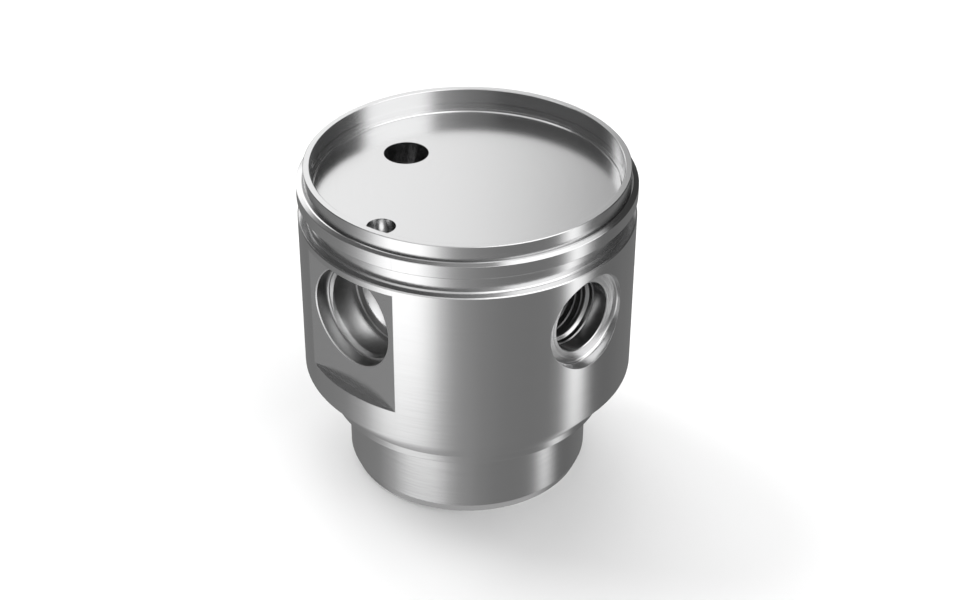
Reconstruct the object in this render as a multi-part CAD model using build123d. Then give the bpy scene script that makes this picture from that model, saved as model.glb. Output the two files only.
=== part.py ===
from build123d import *
import math
import os

# Body of a high-pressure gas regulator, turned and milled from one bar of steel.
# Millimetres. The origin is the centre of the nose's end face, and +Z runs up to the open rim.
# The stepped bore faces -X and the threaded port faces -Y.

# Turned outside: the body's radius, and how far each step lies inside the one before
body_radius = 30.0
rim_setback = 1.3
rim_wall = 1.2
groove_depth = 1.65
cone_setback = 4.67
nose_setback = 3.18
tip_setback = 0.7

# Turned outside: heights, from the nose up
tip_height = 1.75
nose_length = 14.1
collar_height = 1.35
cone_height = 5.75
barrel_height = 30.7
groove_width = 3.7
ring_height = 2.7
rim_height = 2.7

# Recess in the top, with a small step above its floor
recess_depth = 4.5
floor_step_width = 0.35
floor_step_height = 0.45

# Broken edges of the turned faces, and the small bevels left in the corners
rim_edge = 0.12
ring_bevel_width = 0.7
ring_bevel_drop = 0.35
ring_lower_edge = 0.12
barrel_edge = 0.2
groove_corner = 0.25
floor_corner = 0.2

# Both side bores have their axes this far below the seal groove
port_drop = 10.55
drill_angle = 118.0

# Milled flat facing -X
flat_depth = 1.9
flat_rise = 9.25
flat_fall = 14.6

# Stepped bore in the flat; depths are measured from the flat
mouth_radius = 9.1
mouth_edge = 0.16
mouth_depth = 2.4
seat_radius = 8.45
seat_lead_width = 0.3
seat_lead_length = 1.0
seat_lead_edge = 0.15
seat_depth = 8.7
seat_corner = 0.2
inner_radius = 6.6
inner_lead = 0.12
inner_web = 3.0  # metal left between the bore's point and the cross passage

# Spotfaced port facing -Y; depths are measured from the spotface
spot_depth = 2.25
spot_radius = 8.85
spot_round = 0.6
port_edge = 0.12
port_radius = 6.4
port_depth = 2.95
port_step = 0.2
relief_depth = 3.9
thread_radius = 5.75
thread_depth = 15.0

# Drilled holes in the recess floor, and the passage that joins the port to the larger one
drop_radius = 3.95
drop_offset = 15.6
cross_radius = 3.5
sensing_radius = 2.4
sensing_inset = 7.5  # from the flat to the hole's axis
hole_edge = 0.12

# Cutters start this far outside the metal
clear = 1.0

# Radii and heights worked out from the sizes
rim_radius = body_radius - rim_setback
recess_radius = rim_radius - rim_wall
floor_radius = recess_radius - floor_step_width
groove_radius = body_radius - groove_depth
collar_radius = body_radius - cone_setback
nose_radius = collar_radius - nose_setback
tip_radius = nose_radius - tip_setback
collar_top = nose_length + collar_height
barrel_bottom = collar_top + cone_height
barrel_top = barrel_bottom + barrel_height
groove_top = barrel_top + groove_width
shoulder = groove_top + ring_height
rim_top = shoulder + rim_height
floor_height = rim_top - recess_depth
step_height = floor_height + floor_step_height
port_height = barrel_top - port_drop


def point_length(radius):
    """Length of the cone that a drill of this radius leaves at the end of its hole."""
    return radius / math.tan(math.radians(drill_angle / 2))


def turned(outline, rounds, plane):
    """Solid turned about the plane's Y axis; rounds maps a corner of the outline to its radius."""
    with BuildPart() as solid:
        with BuildSketch(plane) as section:
            with BuildLine():
                Polyline(*outline, close=True)
            make_face()
            for corner, radius in rounds.items():
                fillet(section.vertices().sort_by_distance(corner)[0], radius)
        revolve(axis=Axis(plane.origin, plane.y_dir))
    return solid.part


def bore_plane(outward):
    """Plane through a side bore: its Y runs out along the bore's axis, its X up."""
    axis_out = Vector(*outward)
    upward = Vector(0, 0, 1)
    return Plane((0, 0, port_height), x_dir=upward, z_dir=upward.cross(axis_out))


def turned_blank():
    """The bar after turning: nose, collar, cone, barrel, seal groove, ring, rim and recess."""
    outline = [
        (0, 0),
        (tip_radius, 0),
        (nose_radius, tip_height),
        (nose_radius, nose_length),
        (collar_radius, nose_length),
        (collar_radius, collar_top),
        (body_radius, barrel_bottom),
        (body_radius, barrel_top - barrel_edge),
        (body_radius - barrel_edge, barrel_top),
        (groove_radius + groove_corner, barrel_top),
        (groove_radius, barrel_top + groove_corner),
        (groove_radius, groove_top - groove_corner),
        (groove_radius + groove_corner, groove_top),
        (body_radius - ring_lower_edge, groove_top),
        (body_radius, groove_top + ring_lower_edge),
        (body_radius, shoulder - ring_bevel_drop),
        (body_radius - ring_bevel_width, shoulder),
        (rim_radius, shoulder),
        (rim_radius, rim_top - rim_edge),
        (rim_radius - rim_edge, rim_top),
        (recess_radius + rim_edge, rim_top),
        (recess_radius, rim_top - rim_edge),
        (recess_radius, step_height),
        (floor_radius, step_height),
        (floor_radius, floor_height + floor_corner),
        (floor_radius - floor_corner, floor_height),
        (0, floor_height),
    ]
    return turned(outline, {}, Plane.XZ)


def flat_cutter():
    """Block that mills the flat; its floor and ceiling leave ledges in the barrel."""
    height = flat_rise + flat_fall
    middle = port_height + (flat_rise - flat_fall) / 2
    block = Box(flat_depth + clear, 2 * body_radius, height)
    return Pos(-body_radius + (flat_depth - clear) / 2, 0, middle) * block


def stepped_bore_cutter():
    """Mouth, seat and inner bore that open in the flat."""
    flat = body_radius - flat_depth
    mouth_end = flat - mouth_depth
    seat_end = flat - seat_depth
    inner_end = cross_radius + inner_web + point_length(inner_radius)
    lead_radius = seat_radius + seat_lead_width
    outline = [
        (0, body_radius + clear),
        (mouth_radius + mouth_edge, body_radius + clear),
        (mouth_radius + mouth_edge, flat),
        (mouth_radius, flat - mouth_edge),
        (mouth_radius, mouth_end),
        (lead_radius + seat_lead_edge, mouth_end),
        (lead_radius - seat_lead_edge / 2, mouth_end - seat_lead_edge),
        (seat_radius, mouth_end - seat_lead_length),
        (seat_radius, seat_end + seat_corner),
        (seat_radius - seat_corner, seat_end),
        (inner_radius + inner_lead, seat_end),
        (inner_radius, seat_end - inner_lead),
        (inner_radius, inner_end),
        (0, inner_end - point_length(inner_radius)),
    ]
    return turned(outline, {}, bore_plane((-1, 0, 0)))


def port_cutter():
    """Spotface, port, tapped bore and the passage that runs on to the floor's larger hole."""
    spot = body_radius - spot_depth
    port_end = spot - port_depth
    relief_end = spot - relief_depth
    relief_radius = port_radius - port_step
    thread_end = spot - thread_depth
    spot_corner = (spot_radius, spot)
    outline = [
        (0, body_radius + clear),
        (spot_radius, body_radius + clear),
        spot_corner,
        (port_radius + port_edge, spot),
        (port_radius, spot - port_edge),
        (port_radius, port_end),
        (relief_radius, port_end - port_step),
        (relief_radius, relief_end),
        (thread_radius, relief_end - (relief_radius - thread_radius)),
        (thread_radius, thread_end),
        (cross_radius, thread_end - point_length(thread_radius - cross_radius)),
        (cross_radius, -drop_offset),
        (0, -drop_offset - point_length(cross_radius)),
    ]
    return turned(outline, {spot_corner: spot_round}, bore_plane((0, -1, 0)))


def floor_hole_cutter(x, y, radius, bottom):
    """Hole drilled down from the recess floor, with its broken edge and drill point."""
    outline = [
        (0, floor_height + clear),
        (radius + hole_edge, floor_height + clear),
        (radius + hole_edge, floor_height),
        (radius, floor_height - hole_edge),
        (radius, bottom),
        (0, bottom - point_length(radius)),
    ]
    return turned(outline, {}, Plane((x, y, 0), x_dir=(1, 0, 0), z_dir=(0, -1, 0)))


def regulator_body():
    """The whole body: the turned blank, then the flat, the side bores and the floor's holes."""
    sensing_offset = body_radius - flat_depth - sensing_inset
    sensing_bottom = port_height + inner_radius + point_length(sensing_radius)
    body = turned_blank()
    body -= flat_cutter()
    body -= stepped_bore_cutter()
    body -= port_cutter()
    body -= floor_hole_cutter(0, drop_offset, drop_radius, port_height)
    body -= floor_hole_cutter(-sensing_offset, 0, sensing_radius, sensing_bottom)
    return body


os.makedirs("parts", exist_ok=True)
export_step(regulator_body(), "parts/regulator_body.step")
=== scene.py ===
import math

import bpy
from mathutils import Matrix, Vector


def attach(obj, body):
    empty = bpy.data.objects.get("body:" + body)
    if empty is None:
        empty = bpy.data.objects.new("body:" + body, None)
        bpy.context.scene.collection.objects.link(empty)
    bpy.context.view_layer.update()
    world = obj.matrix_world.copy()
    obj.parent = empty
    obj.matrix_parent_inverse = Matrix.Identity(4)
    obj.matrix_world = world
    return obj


print("loading the body")
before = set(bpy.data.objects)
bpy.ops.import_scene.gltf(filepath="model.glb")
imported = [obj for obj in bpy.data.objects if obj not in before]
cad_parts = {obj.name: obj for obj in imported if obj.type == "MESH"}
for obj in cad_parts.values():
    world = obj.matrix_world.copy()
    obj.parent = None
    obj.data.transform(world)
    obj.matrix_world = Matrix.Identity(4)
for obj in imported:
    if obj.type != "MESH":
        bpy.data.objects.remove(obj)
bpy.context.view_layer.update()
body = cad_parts["regulator_body"]

# the photo's view, in metres and degrees; the body's axis is the Z axis
viewSettings = {
    "distance": 0.28257,      # camera to the body's axis, along the floor
    "height": 0.21779,        # camera above the floor
    "pitch": 33.329,          # looking down
    "turn": -45.0,            # both side bores show alike
    "lens": 68.494,
    "shiftRight": 0.01914,    # the body stands left of the picture's centre
}


def makeCamera(s):
    turn = math.radians(s["turn"])
    camera = bpy.data.objects.new("camera", bpy.data.cameras.new("camera"))
    bpy.context.scene.collection.objects.link(camera)
    camera.location = (s["distance"] * math.sin(turn), -s["distance"] * math.cos(turn), s["height"])
    camera.rotation_euler = (math.radians(90 - s["pitch"]), 0, turn)
    camera.data.sensor_width = 36
    camera.data.lens = s["lens"]
    camera.data.shift_x = s["shiftRight"]
    camera.data.clip_start = 0.01
    bpy.context.scene.camera = camera


def addNode(tree, kind, inputs=None, **values):
    node = tree.nodes.new(kind)
    for name, value in values.items():
        setattr(node, name, value)
    for key, value in (inputs or {}).items():
        if isinstance(value, bpy.types.NodeSocket):
            tree.links.new(value, node.inputs[key])
        else:
            node.inputs[key].default_value = value
    return node


def maths(tree, operation, first, second=0.0, third=0.0):
    inputs = {0: first, 1: second, 2: third}
    return addNode(tree, "ShaderNodeMath", inputs, operation=operation).outputs[0]


def divide(tree, first, second):
    return maths(tree, "DIVIDE", first, second)


def hypotenuse(tree, first, second):
    square = maths(tree, "MULTIPLY", second, second)
    return maths(tree, "SQRT", maths(tree, "MULTIPLY_ADD", first, first, square))


def vector(tree, *values):
    return addNode(tree, "ShaderNodeCombineXYZ", dict(enumerate(values))).outputs[0]


def vectorMaths(tree, operation, first, second=(0, 0, 0), scale=1.0):
    inputs = {0: first, 1: second, 3: scale}
    return addNode(tree, "ShaderNodeVectorMath", inputs, operation=operation).outputs[0]


def ramp(tree, factor, stops, smooth="EASE"):
    node = addNode(tree, "ShaderNodeValToRGB", {0: factor})
    node.color_ramp.interpolation = smooth
    while len(node.color_ramp.elements) < len(stops):
        node.color_ramp.elements.new(1.0)
    for element, (place, level) in zip(node.color_ramp.elements, stops):
        element.position = place
        element.color = (level, level, level, 1)
    return node.outputs[0]


# a ramp along a length in metres, with its stops in millimetres
def rampAlong(tree, length, stops):
    first, last = stops[0][0], stops[-1][0]
    span = last - first
    share = maths(tree, "MULTIPLY_ADD", length, 1000 / span, -first / span)
    return ramp(tree, share, [((place - first) / span, level) for place, level in stops], "LINEAR")


def mapRange(tree, value, ends):
    low, high = ends
    inputs = {"Value": value, "From Min": low, "From Max": high}
    return addNode(tree, "ShaderNodeMapRange", inputs, interpolation_type="SMOOTHSTEP").outputs[0]


def blend(tree, share, first, second):
    inputs = {0: share, 2: first, 3: second}
    return addNode(tree, "ShaderNodeMix", inputs, data_type="FLOAT").outputs[0]


def blendVector(tree, share, first, second):
    inputs = {0: share, 4: first, 5: second}
    return addNode(tree, "ShaderNodeMix", inputs, data_type="VECTOR").outputs[1]


def over(tree, value, low):
    return maths(tree, "GREATER_THAN", value, low)


def under(tree, value, high):
    return maths(tree, "LESS_THAN", value, high)


def both(tree, first, second):
    return maths(tree, "MULTIPLY", first, second)


def between(tree, value, low, high):
    return both(tree, over(tree, value, low), under(tree, value, high))


# the studio around the body: brightness by compass angle, clockwise seen from above, 0 at the camera
studioSettings = {
    "below": [
        (-180, 0.2), (-144, 0.22), (-112, 0.27), (-92, 0.3), (-82, 0.44), (-73, 0.7), (-65, 1.3),
        (-56, 1.8), (-48, 1.95), (-38, 1.95), (-31, 1.85), (-24, 1.4), (-16, 0.8), (-8, 0.46),
        (0, 0.36), (12, 0.29), (28, 0.25), (44, 0.24), (57, 0.25), (65, 0.32), (71, 1.1),
        (76, 1.85), (82, 1.5), (89, 0.5), (95, 0.19), (106, 0.18), (130, 0.2), (156, 0.2), (180, 0.2),
    ],
    "above": [
        (-180, 1.3), (-170, 1.34), (-148, 1.8), (-142, 1.4), (-135, 0.25), (-120, 0.12),
        (-30, 0.12), (-12, 0.28), (0, 0.36), (20, 0.6), (34, 2.3), (76, 2.3), (92, 0.22), (105, 0.1),
        (120, 0.06), (164, 0.06), (172, 0.22), (175, 0.55), (177, 0.95), (180, 1.22),
    ],
    "high": [
        (-180, 1.0), (-152, 0.9), (-144, 0.15), (-112, 0.15), (-102, 1.6), (-84, 1.5), (-70, 0.9),
        (-45, 1.0), (0, 0.75), (22, 1.9), (120, 1.8), (135, 0.2), (165, 0.3), (174, 0.9), (180, 1.0),
    ],
    "top": 0.36,
    "horizon": (-0.1, 0.25),      # sines of the elevations where below turns into above
    "steep": (0.65, 0.74),        # above into high
    "overhead": (0.975, 0.99),    # and high into top
    "belowRange": (-0.67, -0.5),  # below fades towards the floor over these sines
    "belowFalls": [(0.0, 0.1), (0.22, 0.2), (0.3, 0.32), (0.36, 0.5), (0.43, 0.75), (0.62, 1.0), (1.0, 1.0)],
    "belowBase": 0.36,            # what the fading leaves alone
    "belowSoft": 1.15,            # the most that below has near the horizon
    "softRange": (-0.44, -0.26),
    "nadir": 0.5,                 # straight below
    "nadirRange": (-0.78, -0.9),
    "widening": 0.06,             # how much wider the pattern stands near the floor
}


def makeStudio(s, turn):
    world = bpy.data.worlds.new("studio")
    bpy.context.scene.world = world
    world.use_nodes = True
    tree = world.node_tree
    tree.nodes.clear()
    ray = addNode(tree, "ShaderNodeTexCoord").outputs["Generated"]
    inputs = {"Vector": ray, "Angle": math.radians(-turn)}
    turned = addNode(tree, "ShaderNodeVectorRotate", inputs, rotation_type="Z_AXIS")
    parts = addNode(tree, "ShaderNodeSeparateXYZ", {0: turned.outputs[0]})
    height = parts.outputs[2]
    forward = maths(tree, "MULTIPLY", parts.outputs[1], -1.0)
    angle = maths(tree, "ARCTAN2", parts.outputs[0], forward)

    low, high = s["belowRange"]
    inputs = {"Value": height, "From Min": low, "From Max": high}
    fall = addNode(tree, "ShaderNodeMapRange", inputs).outputs[0]
    narrow = maths(tree, "MULTIPLY_ADD", fall, s["widening"], 1 - s["widening"])
    share = maths(tree, "MULTIPLY_ADD", maths(tree, "MULTIPLY", angle, narrow), 1 / (2 * math.pi), 0.5)
    levels = {}
    for name in ("below", "above", "high"):
        levels[name] = ramp(tree, share, [((place + 180) / 360, level) for place, level in s[name]])

    falls = ramp(tree, fall, s["belowFalls"], "LINEAR")
    base = maths(tree, "MINIMUM", levels["below"], s["belowBase"])
    extra = maths(tree, "MULTIPLY", maths(tree, "SUBTRACT", levels["below"], base), falls)
    below = maths(tree, "ADD", base, extra)
    softer = maths(tree, "MINIMUM", below, s["belowSoft"])
    below = blend(tree, mapRange(tree, height, s["softRange"]), below, softer)

    level = blend(tree, mapRange(tree, height, s["horizon"]), below, levels["above"])
    level = blend(tree, mapRange(tree, height, s["steep"]), level, levels["high"])
    level = blend(tree, mapRange(tree, height, s["nadirRange"]), level, s["nadir"])
    level = blend(tree, mapRange(tree, height, s["overhead"]), level, s["top"])
    lit = addNode(tree, "ShaderNodeBackground", {"Color": level})
    addNode(tree, "ShaderNodeOutputWorld", {0: lit.outputs[0]})


# the floor and the lamps that light it and throw the body's shadow; the steel reflects neither
floorSettings = {
    "side": 3.0,              # half its width, in metres
    "colour": 0.8,
    "glow": 0.03,
    "lamps": {                # compass angle, elevation, softness in degrees, strength
        "leftLamp": (-121, 45, 30, 1.65),
        "backLamp": (180, 50, 50, 1.15),
    },
}


def makeFloor(s, turn):
    mesh = bpy.data.meshes.new("floor")
    side = s["side"]
    corners = [(-side, -side, 0), (side, -side, 0), (side, side, 0), (-side, side, 0)]
    mesh.from_pydata(corners, [], [(0, 1, 2, 3)])
    floor = bpy.data.objects.new("floor", mesh)
    bpy.context.scene.collection.objects.link(floor)
    material = bpy.data.materials.new("floorPaper")
    material.use_nodes = True
    tree = material.node_tree
    tree.nodes.clear()
    colour = s["colour"]
    paper = addNode(tree, "ShaderNodeBsdfDiffuse", {"Color": (colour, colour, colour, 1)})
    glow = addNode(tree, "ShaderNodeEmission", {"Color": (1, 1, 1, 1), "Strength": s["glow"]})
    surface = addNode(tree, "ShaderNodeAddShader", {0: paper.outputs[0], 1: glow.outputs[0]})
    addNode(tree, "ShaderNodeOutputMaterial", {0: surface.outputs[0]})
    mesh.materials.append(material)
    floor.visible_glossy = False
    for name, (compass, rise, softness, strength) in s["lamps"].items():
        lamp = bpy.data.objects.new(name, bpy.data.lights.new(name, "SUN"))
        bpy.context.scene.collection.objects.link(lamp)
        lamp.data.energy = strength
        lamp.data.angle = math.radians(softness)
        lamp.rotation_euler = (math.radians(90 - rise), 0, math.radians(compass + turn))
        lamp.visible_glossy = False


# the steel: colour, polish and marks; lengths in metres, and the stops of its ramps in millimetres
steelSettings = {
    "colour": (0.62, 0.62, 0.622),
    "shades": (0.97, 1.03),
    "roughness": 0.2,
    "roughnessSpread": 0.06,
    "edge": 0.00007,                 # rounding of the edges, in the shading alone
    "edgeSamples": 6,
    "marks": 60.0,                   # how much finer the turned marks are across than along
    "markScale": 110.0,
    "tilt": 0.02,                    # how far the marks tip the surface
    "skin": 0.00003,                 # how near a face a point has to be
    "boreZ": 0.04135,                # height of both side bores
    "boreEnd": -0.004,               # nearer the body's axis than this they are plain
    # the cone between barrel and collar is shaded almost as an upright wall, with the barrel's reflections
    "coneZ": (0.0152, 0.0213),
    "coneRadius": 0.0253,
    "coneFlat": 0.08,
    # the ring's top is shaded as if crowned: tilt by distance from the axis, and painted shade darkens a line
    # at the rim's foot
    "crownZ": (0.05794, 0.05832),
    "crown": [
        (28.4, 0.0), (28.7, 0.0), (28.98, 0.0), (29.08, 0.4), (29.3, 0.5), (29.31, 0.0), (29.88, 0.0),
        (30.0, 0.4), (30.4, 0.4),
    ],
    "crownRoughness": 0.12,
    # painted shade: the colour is darkened to under half in the corner at the rim's foot, where shade falls
    "paintedFootShadeRadii": (0.0285, 0.02894),
    "paintedFootShade": 0.45,
    # the edges of the floor's holes are shaded as if they faced sideways
    "holeEdgeZ": (0.0563, 0.05649),
    "holeReach": 0.0266,
    "holeEdgeFlat": 0.95,
    # the milled flat and its stepped bore, with the mouth's edge and the lead before the seat shaded as rounded
    "flatX": -0.0281,
    "flatRoughness": 0.25,
    "seatReach": 0.0094,
    "seatRoughness": 0.36,
    "seatPaintedShade": [                  # painted shade: the colour darkens by depth into the stepped bore
        (0.0, 1.0), (0.2, 1.0), (0.25, 0.5), (2.35, 0.5), (2.4, 1.0), (3.3, 1.0), (3.6, 0.6),
        (8.6, 0.6), (8.7, 1.0), (8.9, 0.75), (20.0, 0.7),
    ],
    "innerX": -0.0194,
    "innerRoughness": 0.4,
    "leadX": (-0.02535, -0.02475),
    "leadRadii": (0.0084, 0.009),
    "leadSlant": 0.14,
    "mouthX": -0.0279,
    "mouthRadii": (0.0091, 0.00927),
    "leadTilt": (-0.92, 0.39),       # along the bore and towards its axis
    # the port: its spotface is turned deeper and finer than the rest
    "spotY": -0.02775,
    "spotReach": 0.0092,
    "spotTilt": 1.2,
    "spotMarks": 5.0,
    "portReach": 0.0066,
    "portRoughness": 0.26,
    "threadY": -0.0235,
    "threadRoughness": 0.45,
    "portPaintedShade": [                  # painted shade: the colour darkens by depth into the port and its thread
        (0.0, 1.0), (0.2, 0.8), (2.85, 0.8), (2.9, 1.0), (2.96, 0.4), (3.85, 0.4), (3.9, 0.8),
        (4.5, 0.8), (4.6, 0.32), (20.0, 0.3),
    ],
}


# where a point lies: its coordinates, its distance from each axis, and the faces and bores it is on
def findPlaces(tree, s):
    place = addNode(tree, "ShaderNodeTexCoord").outputs["Object"]
    parts = addNode(tree, "ShaderNodeSeparateXYZ", {0: place})
    x, y, z = parts.outputs[0], parts.outputs[1], parts.outputs[2]
    rise = maths(tree, "SUBTRACT", z, s["boreZ"])
    radius = hypotenuse(tree, x, y)
    seatRadius = hypotenuse(tree, y, rise)
    portRadius = hypotenuse(tree, x, rise)
    flatX, spotY, skin = s["flatX"], s["spotY"], s["skin"]

    onFlat = between(tree, x, flatX - skin, flatX + skin)
    inSeat = both(tree, between(tree, x, flatX + skin, s["boreEnd"]), under(tree, seatRadius, s["seatReach"]))
    onSpot = both(tree, between(tree, y, spotY - skin, spotY + skin), under(tree, portRadius, s["spotReach"]))
    inPort = both(tree, between(tree, y, spotY + skin, s["boreEnd"]), under(tree, portRadius, s["portReach"]))
    onMouth = between(tree, x, flatX - skin, s["mouthX"])
    onMouth = both(tree, onMouth, between(tree, seatRadius, *s["mouthRadii"]))
    leadStart, leadEnd = s["leadX"]
    slanted = maths(tree, "MULTIPLY_ADD", rise, -s["leadSlant"], x)
    onLead = both(tree, over(tree, x, leadStart), under(tree, slanted, leadEnd))
    onLead = both(tree, onLead, between(tree, seatRadius, *s["leadRadii"]))
    return {
        "x": x, "y": y, "z": z, "rise": rise,
        "radius": radius, "seatRadius": seatRadius, "portRadius": portRadius,
        "onFlat": onFlat,
        "inSeat": inSeat,
        "inInner": both(tree, inSeat, over(tree, x, s["innerX"])),
        "onSpot": onSpot,
        "inPort": inPort,
        "inThread": both(tree, inPort, over(tree, y, s["threadY"])),
        "alongPort": maths(tree, "MAXIMUM", onSpot, inPort),
        "onRounded": maths(tree, "MAXIMUM", onLead, onMouth),
        "onCone": both(tree, between(tree, z, *s["coneZ"]), over(tree, radius, s["coneRadius"])),
        "onHoleEdge": both(tree, between(tree, z, *s["holeEdgeZ"]), under(tree, radius, s["holeReach"])),
        "onCrown": between(tree, z, *s["crownZ"]),
    }


# fine rings around the axis that each face was turned on
def turnedMarks(tree, s, at):
    across = maths(tree, "ADD", at["z"], at["radius"])
    across = blend(tree, at["alongPort"], across, maths(tree, "ADD", at["y"], at["portRadius"]))
    across = both(tree, across, blend(tree, at["onSpot"], 1.0, s["spotMarks"]))
    across = blend(tree, at["inSeat"], across, maths(tree, "ADD", at["x"], at["seatRadius"]))
    stretched = vector(tree, at["x"], at["y"], maths(tree, "MULTIPLY", across, s["marks"]))
    inputs = {"Vector": stretched, "Scale": s["markScale"], "Detail": 2.0}
    return addNode(tree, "ShaderNodeTexNoise", inputs).outputs[0]


# the direction that the shading uses for edges, leads, cone, ring and marks; the mesh keeps its own
def tippedNormal(tree, s, at, uneven):
    x, y, rise = at["x"], at["y"], at["rise"]
    radius, seatRadius, portRadius = at["radius"], at["seatRadius"], at["portRadius"]
    barrelOutward = vector(tree, divide(tree, x, radius), divide(tree, y, radius), 1.0)
    portOutward = vector(tree, divide(tree, x, portRadius), -1.0, divide(tree, rise, portRadius))
    seatOutward = vector(tree, -1.0, divide(tree, y, seatRadius), divide(tree, rise, seatRadius))
    outward = blendVector(tree, at["alongPort"], barrelOutward, portOutward)
    outward = blendVector(tree, at["inSeat"], outward, seatOutward)

    normal = addNode(tree, "ShaderNodeBevel", {"Radius": s["edge"]}, samples=s["edgeSamples"]).outputs[0]
    along, inward = s["leadTilt"]
    dished = vectorMaths(tree, "SCALE", seatOutward, scale=-inward)
    dished = vectorMaths(tree, "ADD", dished, (along - inward, 0, 0))
    normal = blendVector(tree, at["onRounded"], normal, dished)

    flattened = maths(tree, "MULTIPLY_ADD", mapRange(tree, at["z"], s["coneZ"][::-1]), s["coneFlat"], -1.0)
    keep = maths(tree, "MULTIPLY_ADD", at["onCone"], flattened, 1.0)
    normal = vectorMaths(tree, "MULTIPLY", normal, vector(tree, 1.0, 1.0, keep))
    keep = maths(tree, "MULTIPLY_ADD", at["onHoleEdge"], -s["holeEdgeFlat"], 1.0)
    normal = vectorMaths(tree, "MULTIPLY", normal, vector(tree, 1.0, 1.0, keep))

    tilt = both(tree, uneven, blend(tree, at["onSpot"], s["tilt"], s["spotTilt"]))
    tilt = maths(tree, "MULTIPLY_ADD", at["onCrown"], rampAlong(tree, radius, s["crown"]), tilt)
    normal = vectorMaths(tree, "ADD", normal, vectorMaths(tree, "SCALE", outward, scale=tilt))
    return vectorMaths(tree, "NORMALIZE", normal)


def steelRoughness(tree, s, at, uneven):
    rough = s["roughness"]
    for place, name in (
        ("onFlat", "flatRoughness"),
        ("onCrown", "crownRoughness"),
        ("inSeat", "seatRoughness"),
        ("inInner", "innerRoughness"),
        ("inPort", "portRoughness"),
        ("inThread", "threadRoughness"),
    ):
        rough = blend(tree, at[place], rough, s[name])
    return maths(tree, "MULTIPLY_ADD", uneven, s["roughnessSpread"], rough)


# the colour's tone: random shades from the turned marks, times painted shade in the bores and at the rim's foot
def steelToneAndPaintedShade(tree, s, at, marks):
    low, high = s["shades"]
    shade = maths(tree, "MULTIPLY_ADD", marks, high - low, low)
    # painted shade in the port, darker by depth from the spotface
    inward = maths(tree, "SUBTRACT", at["y"], s["spotY"])
    shade = both(tree, shade, blend(tree, at["inPort"], 1.0, rampAlong(tree, inward, s["portPaintedShade"])))
    # painted shade in the stepped bore, darker by depth from the flat
    inward = maths(tree, "SUBTRACT", at["x"], s["flatX"])
    shade = both(tree, shade, blend(tree, at["inSeat"], 1.0, rampAlong(tree, inward, s["seatPaintedShade"])))
    # painted shade at the rim's foot, darkening the colour in that corner
    atPaintedFootShade = both(tree, at["onCrown"], between(tree, at["radius"], *s["paintedFootShadeRadii"]))
    return both(tree, shade, blend(tree, atPaintedFootShade, 1.0, s["paintedFootShade"]))


def makeSteel(s):
    material = bpy.data.materials.new("turnedSteel")
    material.use_nodes = True
    tree = material.node_tree
    shader = tree.nodes["Principled BSDF"]
    shader.inputs["Metallic"].default_value = 1.0
    at = findPlaces(tree, s)
    marks = turnedMarks(tree, s, at)
    uneven = maths(tree, "SUBTRACT", marks, 0.5)
    shade = steelToneAndPaintedShade(tree, s, at, marks)
    tree.links.new(tippedNormal(tree, s, at, uneven), shader.inputs["Normal"])
    tree.links.new(steelRoughness(tree, s, at, uneven), shader.inputs["Roughness"])
    # base colour: the steel's colour times the marks' tone and the painted shade
    tree.links.new(vectorMaths(tree, "SCALE", s["colour"], scale=shade), shader.inputs["Base Color"])
    return material


# the port's thread, a right-hand ridge in the tapped bore; millimetres
threadSettings = {
    "pitch": 1.337,
    "wall": 5.76,             # radius of its foot, just inside the bore's wall
    "crest": 5.58,
    "footWidth": 0.6,
    "crestWidth": 0.1,
    "start": 22.7,            # distances from the body's axis
    "end": 13.2,
    "steps": 96,              # to a turn
}


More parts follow.
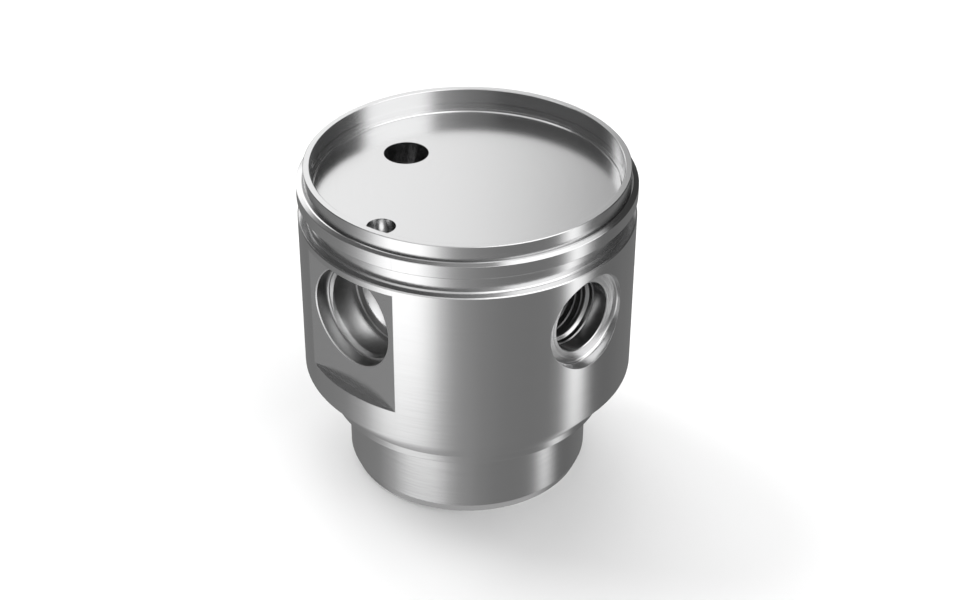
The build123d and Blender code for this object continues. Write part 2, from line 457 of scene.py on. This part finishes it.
def makeThread(s, material):
    boreZ = steelSettings["boreZ"]
    wall, pitch = s["wall"], s["pitch"]
    halfFoot, halfCrest = s["footWidth"] / 2, s["crestWidth"] / 2
    turns = (s["start"] - s["end"]) / pitch
    points, faces = [], []
    for step in range(round(turns * s["steps"]) + 1):
        turn = step / s["steps"]
        angle = 2 * math.pi * turn
        rise = max(min(1.0, 4 * turn, 4 * (turns - turn)), 0.0)   # runs in and out over a quarter turn
        crest = wall + (s["crest"] - wall) * rise
        middle = s["start"] - turn * pitch
        for radius, aside in ((wall, halfFoot), (crest, halfCrest), (crest, -halfCrest), (wall, -halfFoot)):
            sideways, upward = radius * math.sin(angle), -radius * math.cos(angle)
            points.append((sideways / 1000, -(middle + aside) / 1000, boreZ + upward / 1000))
        if step:
            first = 4 * step - 4
            for side in range(first, first + 3):
                faces.append((side, side + 1, side + 5, side + 4))
    mesh = bpy.data.meshes.new("portThread")
    mesh.from_pydata(points, [], faces)
    thread = bpy.data.objects.new("portThread", mesh)
    bpy.context.scene.collection.objects.link(thread)
    mesh.materials.append(material)
    for face in mesh.polygons:
        face.use_smooth = False
    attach(thread, "root")


# small cards that stand in for the light thrown back inside the bores, unseen by the camera
cardSettings = {              # place in metres, facing, radius, strength
    "boreCard": ((-0.0161, 0.0025, 0.0406), (-0.59, 0.44, -0.68), 0.0014, 5.2),
    "mouthCard": ((-0.02396, 0.00411, 0.03733), (-0.533, 0.487, -0.692), 0.001, 1.6),
    "portCard": ((0.00284, -0.02316, 0.03907), (0.83, -0.539, 0.141), 0.00042, 1.0),
    "holeCard": ((-0.02145, -0.00085, 0.0528), (0.59, 0.59, 0.55), 0.0008, 1.7),
}


def makeCards(s):
    sides = 24
    for name, (place, facing, radius, strength) in s.items():
        mesh = bpy.data.meshes.new(name)
        angles = [2 * math.pi * k / sides for k in range(sides)]
        rim = [(radius * math.cos(angle), radius * math.sin(angle), 0) for angle in angles]
        mesh.from_pydata(rim, [], [tuple(range(sides))])
        card = bpy.data.objects.new(name, mesh)
        bpy.context.scene.collection.objects.link(card)
        card.location = place
        card.rotation_euler = Vector(facing).to_track_quat("Z", "Y").to_euler()
        material = bpy.data.materials.new(name)
        material.use_nodes = True
        tree = material.node_tree
        tree.nodes.clear()
        light = addNode(tree, "ShaderNodeEmission", {"Color": (1, 1, 1, 1), "Strength": strength})
        addNode(tree, "ShaderNodeOutputMaterial", {0: light.outputs[0]})
        mesh.materials.append(material)
        card.visible_camera = False
        card.visible_shadow = False


print("setting up the camera")
makeCamera(viewSettings)
print("lighting the studio")
makeStudio(studioSettings, viewSettings["turn"])
print("laying the floor")
makeFloor(floorSettings, viewSettings["turn"])
print("finishing the steel")
steel = makeSteel(steelSettings)
body.data.materials.clear()
body.data.materials.append(steel)
print("adding the port's thread")
makeThread(threadSettings, steel)
print("placing the cards in the bores")
makeCards(cardSettings)

bpy.context.scene.view_settings.view_transform = "Standard"
